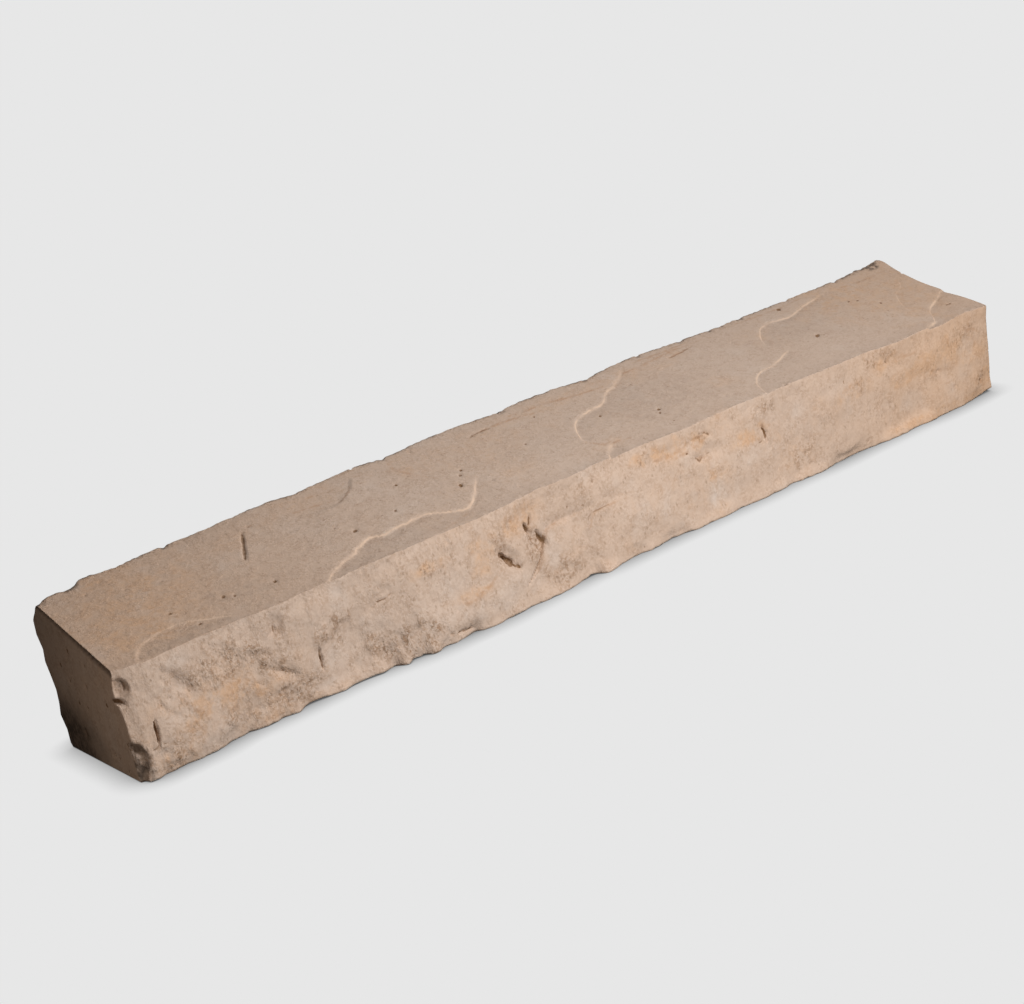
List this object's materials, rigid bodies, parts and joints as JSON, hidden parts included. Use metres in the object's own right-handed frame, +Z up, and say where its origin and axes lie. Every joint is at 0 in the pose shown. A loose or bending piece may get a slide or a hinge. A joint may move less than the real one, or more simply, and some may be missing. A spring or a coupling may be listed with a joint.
{
  "type": "watertable sill",
  "caption": "Cast stone watertable sill: a straight ledge with a smooth top sloping to a rock-face front, square ends and a flat underside.",
  "frame": {"origin": "centre of the bounding box in plan, at the underside", "axes": "+X along the length, -Y out of the rock face, +Y towards the wall, +Z up"},
  "size_m": [0.61, 0.0905, 0.0812],
  "materials": {
    "cast_stone": "matt, sandy, integrally coloured buff"
  },
  "bodies": {
    "root": {"cast_stone_sill": "cast_stone"}
  },
  "joints": []
}
